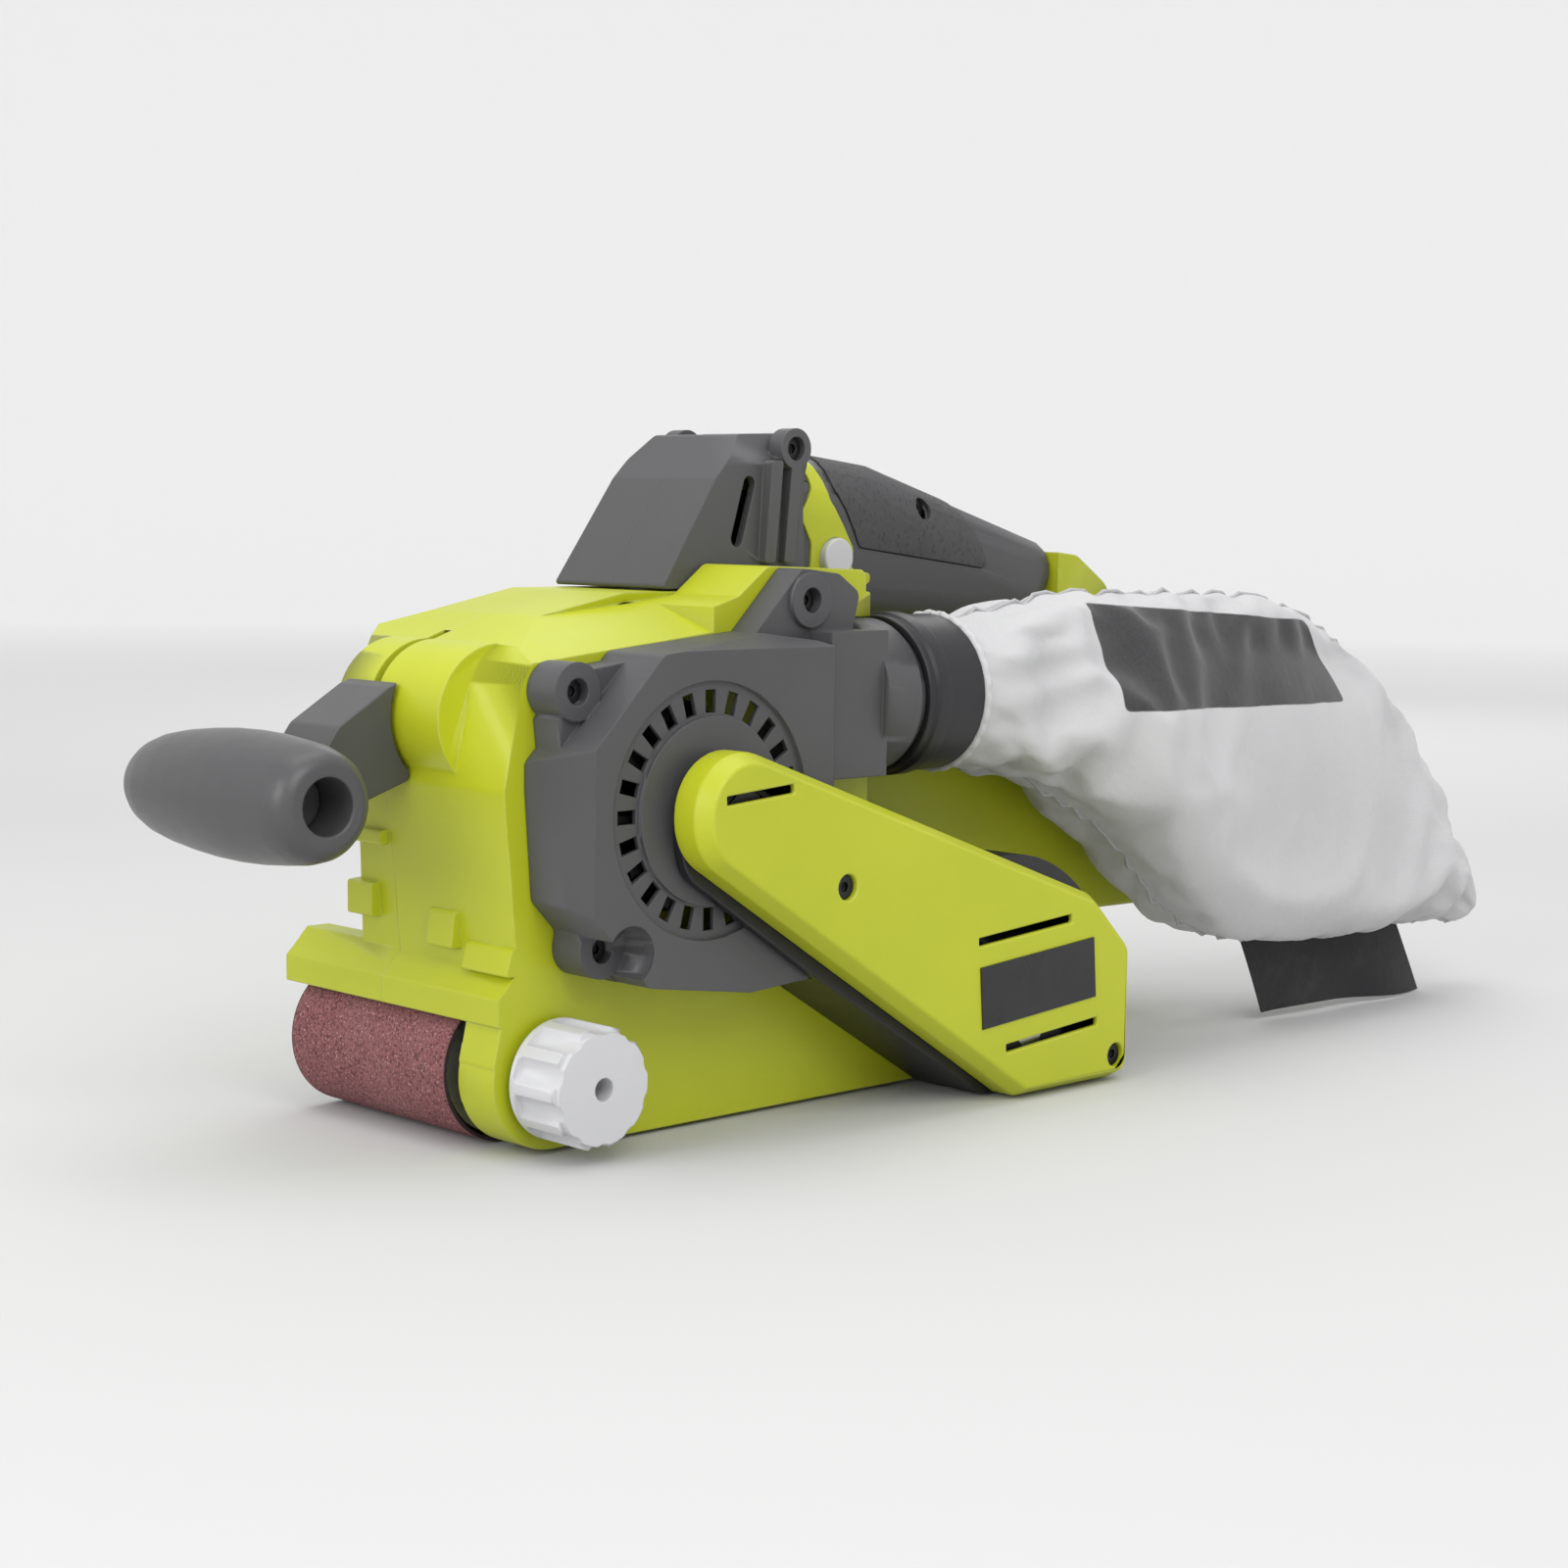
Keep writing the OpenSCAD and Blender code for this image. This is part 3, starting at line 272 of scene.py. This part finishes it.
LIME = (0.462, 0.508, 0.013)
PATCH = [(0.130, 0.154), (0.254, 0.146), (0.270, 0.116), (0.127, 0.119)]
finish = {
    "lime": plastic("lime_moulding", LIME, 0.40, tone=0.06, wear=0.35),
    "grey_plastic": plastic("grey_moulding", (0.074, 0.074, 0.078), 0.44, 900, 0.00004),
    "handle_plastic": plastic("handle_moulding", (0.070, 0.070, 0.073), 0.36, 900, 0.00003),
    "grip_rubber": rubber("grip_overmould", (0.060, 0.060, 0.063), 620),
    "black_plastic": plastic("black_moulding", (0.013, 0.012, 0.015), 0.40, 900, 0.00003),
    "badge": badge_label(),
    "screw_steel": metal("screw_black_oxide", (0.050, 0.050, 0.052), 0.42),
    "frame_alloy": metal("cast_alloy", (0.62, 0.62, 0.63), 0.42, cast=True),
    "bearing_steel": metal("ground_steel", (0.58, 0.58, 0.60), 0.26),
    "graphite": rubber("graphite_cloth", (0.030, 0.030, 0.031)),
    "abrasive": abrasive(),
    "drive_rubber": rubber("moulded_rubber", (0.018, 0.018, 0.018)),
    "windings": metal("enamelled_copper", (0.62, 0.25, 0.10), 0.30, (1, 1, 60)),
    "rotor_steel": metal("rotor_laminations", (0.40, 0.40, 0.42), 0.36, (1, 200, 1)),
    "fan_plastic": plastic("fan_moulding", (0.030, 0.030, 0.033), 0.5),
    "board": plastic("board_lacquer", (0.010, 0.080, 0.030), 0.35),
    "pale_plastic": plastic("terminal_moulding", (0.55, 0.55, 0.52), 0.45),
    "contacts": metal("plated_contacts", (0.80, 0.62, 0.30), 0.25),
    "knob_plastic": plastic("knob_moulding", (0.60, 0.60, 0.62), 0.34, 900, 0.00002, tone=0.04, wear=0.1),
    "button": plastic("button_satin", (0.56, 0.56, 0.58), 0.30, 900, 0.00001, tone=0.05, wear=0.1, coat=0.3),
    "bag_fabric": weave("bag_cloth", (0.56, 0.56, 0.57), 1400, 0.00004, PATCH),
    "tag_fabric": weave("tag_ribbon", (0.020, 0.020, 0.022), 1100, 0.00005, sheen=0.1),
}
thread = weave("seam_thread", (0.44, 0.44, 0.45), 2200, 0.00006)


# ---------------------------------------------------------------- softened CAD shells
def paint(piece, material):
    piece.data.materials.clear()
    piece.data.materials.append(material)
    for face in piece.data.polygons:
        face.material_index = 0


def shell(node, width, steps=2, crease=30.0):
    """A copy of a CAD node with its outside edges rounded by width, which stands for that node.
    With no width its edges keep their shape, and only its material rounds them."""
    source = nodes[node]
    mesh = source.data.copy()
    work = bmesh.new()
    work.from_mesh(mesh)
    bmesh.ops.remove_doubles(work, verts=work.verts, dist=2e-6)
    bmesh.ops.dissolve_limit(
        work, angle_limit=math.radians(0.6), verts=work.verts, edges=work.edges, delimit={"NORMAL"}
    )
    limit = math.radians(crease)
    sharp = [e for e in work.edges if len(e.link_faces) == 2 and e.calc_face_angle(0) > limit]
    if width:
        bmesh.ops.bevel(
            work, geom=sharp, offset=width, offset_type="OFFSET", segments=steps, profile=0.5,
            affect="EDGES", clamp_overlap=False,
        )
        bmesh.ops.remove_doubles(work, verts=work.verts, dist=2e-6)
    work.to_mesh(mesh)
    work.free()
    mesh.shade_smooth()
    mesh.set_sharp_from_angle(angle=math.radians(38))
    piece = bpy.data.objects.new(node + "_shell", mesh)
    scene.collection.objects.link(piece)
    soft = piece.modifiers.new("faces", "WEIGHTED_NORMAL")
    soft.keep_sharp = True
    soft.weight = 60
    paint(piece, finish[slot_of_node[node]])
    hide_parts(node)
    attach(piece, body_of_node[node])
    return piece


# how far each visible piece's edges are rounded, in millimetres
SOFT_EDGE = {
    "body_left": 0, "body_right": 0, "head_left": 0, "head_right": 0, "motor_cover": 0,
    "drive_guard": 0.5, "drive_cover": 0.7, "cover_badge": 0.15,
    "handle_trim_left": 0.3, "handle_trim_right": 0.3, "grip_left": 0.3, "grip_right": 0.3,
    "tracking_knob": 0, "lock_button": 0.9, "trigger": 0.6,
    "front_grip": 0.8, "grip_bracket": 0.7, "grip_bolt": 0.3, "bag_collar": 0.6,
    "battery_socket": 0.5, "tension_lever": 0.5, "sanding_frame": 0.4, "roller_carriage": 0.4,
    "body_screws": 0.2, "head_screws": 0.2, "cover_screws": 0.2, "drive_cover_screws": 0.2,
    "grip_nut": 0.25,
}
for name, cad in nodes.items():
    paint(cad, finish[slot_of_node[name]])
for name, millimetres in SOFT_EDGE.items():
    shell(name, millimetres * MM)


# ---------------------------------------------------------------- dust bag
def along(points, s):
    """A smooth curve through points, at s from 0 to 1, by arc length."""
    p = [Vector(q) for q in points]
    reach = [0.0]
    for a, b in zip(p, p[1:]):
        reach.append(reach[-1] + (b - a).length)
    want = s * reach[-1]
    i = max(k for k in range(len(p) - 1) if reach[k] <= want + 1e-12)
    t = (want - reach[i]) / (reach[i + 1] - reach[i])
    a, b = p[max(i - 1, 0)], p[i]
    c, d = p[i + 1], p[min(i + 2, len(p) - 1)]
    bend = (2 * a - 5 * b + 4 * c - d) * t * t
    return 0.5 * ((2 * b) + (c - a) * t + bend + (3 * b - a - 3 * c + d) * t**3)


# the bag's upper and lower seams, seen from the side: X and Z in millimetres
BAG_TOP = [(71, 150), (84, 150), (108, 154), (138, 157), (190, 157), (236, 155), (268, 145),
           (312, 119), (345, 84), (364, 58), (374, 40)]
BAG_LOW = [(71, 102), (84, 101), (100, 99), (124, 91), (151, 75), (170, 57), (186, 45),
           (213, 34), (275, 29), (340, 28), (369, 25)]
BAG_ROWS, BAG_SIDES = 66, 72
BAG_CAP = 8 * MM
SETTLE_FRAMES = 22


def bag_half_width(s):
    full = 24 + 7 * min(1, s / 0.25)
    return full * (1 - 0.72 * max(0, (s - 0.45) / 0.55) ** 1.5)


def bag_mesh():
    points, uv = [], []
    run, before = 0.0, None
    for i in range(BAG_ROWS):
        s = i / (BAG_ROWS - 1)
        top, low = along(BAG_TOP, s), along(BAG_LOW, s)
        middle, half = (top + low) / 2, (top - low) / 2
        run += (middle - before).length if before else 0
        before = middle
        flat = min(1, s / 0.18)
        y_middle = -60 - 9 * min(1, s / 0.3)
        width = bag_half_width(s)
        girth = 0.0
        for j in range(BAG_SIDES):
            t = 2 * math.pi * j / BAG_SIDES
            c, n = math.cos(t), math.sin(t)
            pinch = 1 - 0.30 * flat * abs(c) ** 6
            spot = middle + half * c * (1 - 0.02 * flat)
            points.append((spot.x, y_middle - width * n * pinch, spot.y))
            if j:
                girth += (Vector(points[-1]) - Vector(points[-2])).length
            uv.append((run * MM, girth * MM))
    faces = []
    for i in range(BAG_ROWS - 1):
        for j in range(BAG_SIDES):
            k = (j + 1) % BAG_SIDES
            here, ahead = i * BAG_SIDES, (i + 1) * BAG_SIDES
            faces.append((here + j, here + k, ahead + k, ahead + j))
    last = (BAG_ROWS - 1) * BAG_SIDES
    faces.append(tuple(last + j for j in range(BAG_SIDES)))
    mesh = bpy.data.meshes.new("dust_bag_cloth")
    mesh.from_pydata([Vector(p) * MM for p in points], [], faces)
    layer = mesh.uv_layers.new(name="cloth")
    for loop in mesh.loops:
        layer.data[loop.index].uv = uv[loop.vertex_index]
    mesh.update()
    return mesh


def simulate(piece, cap):
    """Lets the bag's cloth settle under a little air, with its mouth and seams held, and keeps
    the result. No point moves further than cap."""
    start = np.array([v.co for v in piece.data.vertices])
    held = piece.vertex_groups.new(name="held")
    for i in range(BAG_ROWS):
        s = i / (BAG_ROWS - 1)
        for j in range(BAG_SIDES):
            seam = abs(math.cos(2 * math.pi * j / BAG_SIDES)) ** 30
            weight = max(1 - i / 3, 0.55 * seam, 0.9 * max(0, (s - 0.94) / 0.06), 0.02)
            held.add([i * BAG_SIDES + j], min(1.0, weight), "REPLACE")
    cloth = piece.modifiers.new("air", "CLOTH")
    settings = cloth.settings
    settings.quality = 6
    settings.mass = 0.25
    settings.tension_stiffness = 18
    settings.compression_stiffness = 12
    settings.shear_stiffness = 6
    settings.bending_stiffness = 0.25
    settings.vertex_group_mass = "held"
    settings.use_pressure = True
    settings.uniform_pressure_force = 1.2
    settings.shrink_min = -0.07
    settings.effector_weights.gravity = 0.25
    cloth.collision_settings.use_collision = False
    cloth.point_cache.frame_start, cloth.point_cache.frame_end = 1, SETTLE_FRAMES
    for f in range(1, SETTLE_FRAMES + 1):
        scene.frame_set(f)
    done = piece.evaluated_get(bpy.context.evaluated_depsgraph_get())
    moved = np.array([v.co for v in done.data.vertices])
    piece.modifiers.remove(cloth)
    step = moved - start
    length = np.linalg.norm(step, axis=1, keepdims=True)
    step *= np.minimum(1, cap / np.maximum(length, 1e-9))
    piece.data.vertices.foreach_set("co", (start + step).ravel())
    piece.data.update()
    scene.frame_set(1)


def gathers(piece):
    """Folds that run out of the collar, and puckers along the lower seam and its far corner."""
    mesh = piece.data
    mesh.update()
    for v in mesh.vertices:
        i, j = divmod(v.index, BAG_SIDES)
        s, t = i / (BAG_ROWS - 1), 2 * math.pi * j / BAG_SIDES
        if i < 2 or s > 0.985:
            continue
        sway = noise.noise(Vector((s * 5, math.cos(t) * 1.4, math.sin(t) * 1.4)))
        collar = math.exp(-((s - 0.11) / 0.09) ** 2) * math.sin(9 * t + 5 * sway + 9 * s)
        low = max(0, -math.cos(t)) ** 6 * math.exp(-((s - 0.66) / 0.30) ** 2) * math.sin(60 * s + 7 * sway)
        corner = max(0, (s - 0.62) / 0.38) ** 1.3 * math.sin(7 * t + 5 * sway + 3 * s)
        corner *= min(1, (1 - s) / 0.06)
        crease = noise.noise(v.co * 42) * 0.7 + noise.noise(v.co * 95) * 0.25
        v.co += v.normal * MM * (1.5 * collar + 1.0 * low + 1.1 * corner + 0.9 * crease * min(1, s / 0.1))
    mesh.update()


bag = bpy.data.objects.new("dust_bag_cloth", bag_mesh())
scene.collection.objects.link(bag)
simulate(bag, BAG_CAP)
gathers(bag)
bag.data.shade_smooth()
smooth = bag.modifiers.new("smooth", "SUBSURF")
smooth.levels = smooth.render_levels = 1
paint(bag, finish["bag_fabric"])
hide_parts("dust_bag")
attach(bag, "dust_bag")


def tube(name, path, radius, material, body, closed=False, sides=8):
    """A round cord swept along a path, as a mesh."""
    work = bmesh.new()
    rings = []
    count = len(path)
    for i, p in enumerate(path):
        ahead = path[(i + 1) % count] if closed or i < count - 1 else p
        back = path[i - 1] if closed or i else p
        way = (ahead - back).normalized()
        side = way.cross(Vector((0.13, 1, 0.21))).normalized()
        up = side.cross(way)
        rings.append([
            work.verts.new(p + radius * (math.cos(a) * side + math.sin(a) * up))
            for a in (2 * math.pi * k / sides for k in range(sides))
        ])
    pairs = list(zip(rings, rings[1:])) + ([(rings[-1], rings[0])] if closed else [])
    for a, b in pairs:
        for k in range(sides):
            work.faces.new((a[k], a[(k + 1) % sides], b[(k + 1) % sides], b[k]))
    if not closed:
        work.faces.new(rings[0][::-1])
        work.faces.new(rings[-1])
    bmesh.ops.recalc_face_normals(work, faces=work.faces)
    mesh = bpy.data.meshes.new(name)
    work.to_mesh(mesh)
    work.free()
    mesh.shade_smooth()
    piece = bpy.data.objects.new(name, mesh)
    scene.collection.objects.link(piece)
    paint(piece, material)
    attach(piece, body)
    return piece


def bag_line(side, first=3, last=BAG_ROWS - 1):
    """The bag's surface along one of its length lines."""
    return [bag.data.vertices[i * BAG_SIDES + side].co.copy() for i in range(first, last)]


far_end = bag_line(0, BAG_ROWS - 2, BAG_ROWS)[-1:] + bag_line(BAG_SIDES // 2, BAG_ROWS - 2, BAG_ROWS)[-1:]
tube("bag_upper_seam", bag_line(0), 0.0007, thread, "dust_bag")
tube("bag_lower_seam", bag_line(BAG_SIDES // 2), 0.0007, thread, "dust_bag")
tube("bag_end_seam", [far_end[0].lerp(far_end[1], k / 8) for k in range(9)], 0.0008, thread, "dust_bag")


def ring_of(x, y, z, radius, wave, count, steps=144):
    """A gathered hem round the collar, in the plane across X."""
    path = []
    for k in range(steps):
        t = 2 * math.pi * k / steps
        r = radius + wave * math.sin(count * t)
        path.append(Vector((x + 0.4 * wave * math.cos(count * t), y + r * math.cos(t), z + r * math.sin(t))))
    return path


port_y, port_z = -60 * MM, 126 * MM
tube("bag_elastic_hem", ring_of(73.2 * MM, port_y, port_z, 0.0243, 0.00025, 30), 0.0014, finish["bag_fabric"],
     "dust_bag", True, 10)


# ---------------------------------------------------------------- label under the bag
def ribbon_label():
    """A woven label, sewn along its upper edge, that hangs with a slight wave."""
    low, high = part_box("bag_tag")
    length, drop = 0.098, 0.029
    columns, rows, thick = 60, 22, 0.0006
    work = bmesh.new()
    layer = work.loops.layers.uv.new("cloth")
    sheets = []
    for side in (0, 1):
        grid = []
        for i in range(columns + 1):
            u = i / columns
            line = []
            for k in range(rows + 1):
                v = k / rows
                x = low.x + 0.0025 + length * u + 0.018 * v
                hang = 0.0020 * math.sin(5.2 * u + 1.0) * v + 0.0012 * math.sin(11 * u + 2.0) * v * v
                z = high.z - 0.0015 - 0.0010 * u - drop * v + 0.0010 * math.sin(5 * u)
                line.append(work.verts.new((x, -0.069 + hang + (side - 0.5) * thick, z)))
            grid.append(line)
        sheets.append(grid)
        for i in range(columns):
            for k in range(rows):
                quad = (grid[i][k], grid[i + 1][k], grid[i + 1][k + 1], grid[i][k + 1])
                face = work.faces.new(quad if side else quad[::-1])
                for loop in face.loops:
                    loop[layer].uv = (loop.vert.co.x, loop.vert.co.z)
    a, b = sheets
    rim = [(i, 0) for i in range(columns)] + [(columns, k) for k in range(rows)]
    rim += [(i, rows) for i in range(columns, 0, -1)] + [(0, k) for k in range(rows, 0, -1)]
    for (i, k), (m, n) in zip(rim, rim[1:] + rim[:1]):
        work.faces.new((a[i][k], a[m][n], b[m][n], b[i][k]))
    bmesh.ops.recalc_face_normals(work, faces=work.faces)
    mesh = bpy.data.meshes.new("bag_label")
    work.to_mesh(mesh)
    work.free()
    mesh.shade_smooth()
    mesh.set_sharp_from_angle(angle=math.radians(40))
    piece = bpy.data.objects.new("bag_label", mesh)
    scene.collection.objects.link(piece)
    paint(piece, finish["tag_fabric"])
    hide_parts("bag_tag")
    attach(piece, "dust_bag")
    return piece


label = ribbon_label()


# ---------------------------------------------------------------- stage, light and camera
def backdrop():
    """A pale round floor that curves up into a wall all round."""
    g = Graph("backdrop_paper")
    cloud = g.noise(3, 4)
    far = g.span(g.vector("LENGTH", g.at), 0.8, 3.4)
    near_paper = g.mix(cloud, (0.59, 0.59, 0.59), (0.61, 0.61, 0.61))
    g.set(Base_Color=g.mix(far, near_paper, (0.80, 0.80, 0.80)), Roughness=0.9, Specular_IOR_Level=0.1)
    g.set(Emission_Color=(1, 1, 1), Emission_Strength=g.math("MULTIPLY", far, 0.17))
    profile = [(0, 0), (0.6, 0), (1.2, 0), (2.5, 0), (4.0, 0)]
    curve, turns = 1.1, 14
    for k in range(1, turns + 1):
        a = math.pi / 2 * k / turns
        profile.append((4 + curve * math.sin(a), curve - curve * math.cos(a)))
    profile.append((4 + curve, 1.7))
    steps = 96
    points = [(r * math.cos(2 * math.pi * k / steps), r * math.sin(2 * math.pi * k / steps), z)
              for r, z in profile for k in range(steps)]
    faces = []
    for i in range(len(profile) - 1):
        for k in range(steps):
            here, outer, after = i * steps, (i + 1) * steps, (k + 1) % steps
            faces.append((here + k, here + after, outer + after, outer + k))
    mesh = bpy.data.meshes.new("studio_floor")
    mesh.from_pydata(points, [], faces)
    mesh.shade_smooth()
    floor = bpy.data.objects.new("studio_floor", mesh)
    floor.location.z = -0.0002
    floor.data.materials.append(g.mat)
    scene.collection.objects.link(floor)


backdrop()
world = bpy.data.worlds.new("studio")
scene.world = world
world.use_nodes = True
world.node_tree.nodes["Background"].inputs[0].default_value = (1.0, 1.0, 1.0, 1)
world.node_tree.nodes["Background"].inputs[1].default_value = 0.80


def softbox(name, place, aim, size, power):
    light = bpy.data.lights.new(name, "AREA")
    light.shape = "RECTANGLE"
    light.size, light.size_y = size
    light.energy = power
    piece = bpy.data.objects.new(name, light)
    piece.location = place
    piece.rotation_mode = "QUATERNION"
    piece.rotation_quaternion = (Vector(aim) - Vector(place)).to_track_quat("-Z", "Y")
    scene.collection.objects.link(piece)


middle = (0.05, -0.02, 0.09)
softbox("key", (-0.55, -1.25, 1.25), middle, (1.1, 0.9), 10.5)
softbox("overhead", (0.10, 0.10, 1.7), middle, (1.5, 1.2), 9)
softbox("nose_fill", (-1.5, -0.1, 0.7), middle, (0.9, 0.9), 8)
softbox("rear_fill", (1.3, 0.9, 0.9), middle, (0.9, 0.9), 3)

AZIMUTH, ELEVATION, ROLL = -0.7709, 0.1003, 0.0136
back = Vector((
    math.sin(AZIMUTH) * math.cos(ELEVATION),
    -math.cos(AZIMUTH) * math.cos(ELEVATION),
    math.sin(ELEVATION),
))
right = (-back).cross(Vector((0, 0, 1))).normalized()
up = right.cross(-back)
tilted_right = right * math.cos(ROLL) + up * math.sin(ROLL)
tilted_up = up * math.cos(ROLL) - right * math.sin(ROLL)
lens = bpy.data.cameras.new("camera")
lens.sensor_width = 36
lens.lens = 63
camera = bpy.data.objects.new("camera", lens)
camera.matrix_world = Matrix.Translation((-0.5672, -0.6529, 0.1833)) @ Matrix(
    (tilted_right, tilted_up, back)
).transposed().to_4x4()
scene.collection.objects.link(camera)
scene.camera = camera
